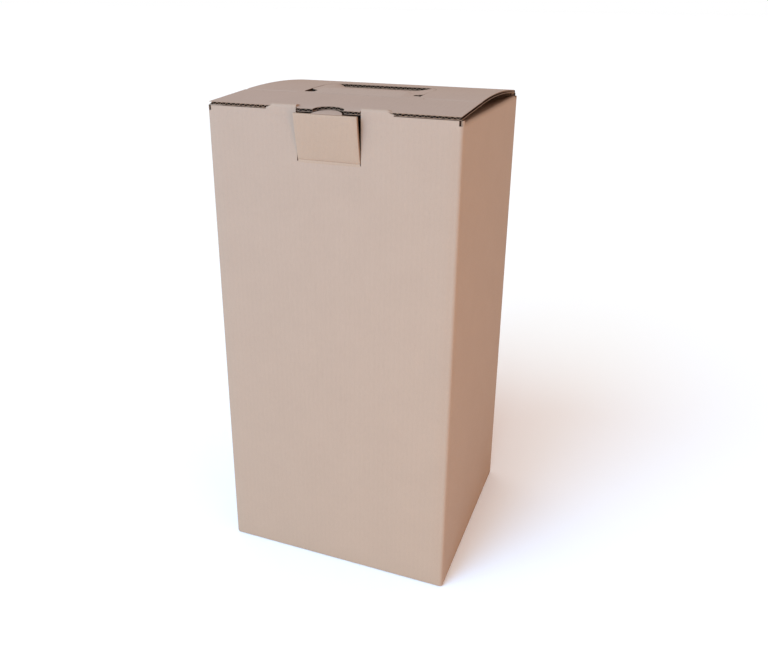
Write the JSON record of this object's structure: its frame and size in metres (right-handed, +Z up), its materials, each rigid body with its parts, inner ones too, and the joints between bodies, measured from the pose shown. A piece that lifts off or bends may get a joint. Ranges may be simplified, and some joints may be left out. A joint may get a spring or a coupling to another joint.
{
  "type": "kraft bottle box",
  "caption": "Tall kraft carton of fine-flute board with an arched lid, a hand hole with its flap, and a thumb tab at the front edge.",
  "frame": {"origin": "middle of the carton's underside, on the surface it stands on", "axes": "+Z up the carton, +X to the right along the front wall, +Y from the front wall towards the back wall"},
  "size_m": [0.165, 0.1564, 0.3326],
  "materials": {
    "kraft_wall": "matt brown kraft liner with fine fibres",
    "kraft_lid": "matt brown kraft liner with fine fibres",
    "kraft_hand_flap": "matt brown kraft liner with fine fibres",
    "kraft_tab": "matt brown kraft liner with fine fibres"
  },
  "bodies": {
    "carton": {"carton_body": "kraft_wall"},
    "lid": {"lid": "kraft_lid"},
    "hand_flap": {"handle_flap": "kraft_hand_flap"},
    "tab": {"front_tab": "kraft_tab"}
  },
  "joints": [
    {"name": "lid_fold", "type": "hinge", "parent": "carton", "child": "lid", "pos_m": [0, -0.0755, 0.32515], "axis": [1, 0, 0], "range_deg": [0, 150]},
    {"name": "hand_flap_fold", "type": "hinge", "parent": "lid", "child": "hand_flap", "pos_m": [0, -0.0302, 0.32823], "axis": [1, 0, 0], "range_deg": [-95, 15]},
    {"name": "tab_fold", "type": "hinge", "parent": "carton", "child": "tab", "pos_m": [0, -0.0755, 0.2956], "axis": [1, 0, 0], "range_deg": [-12, 80]}
  ]
}
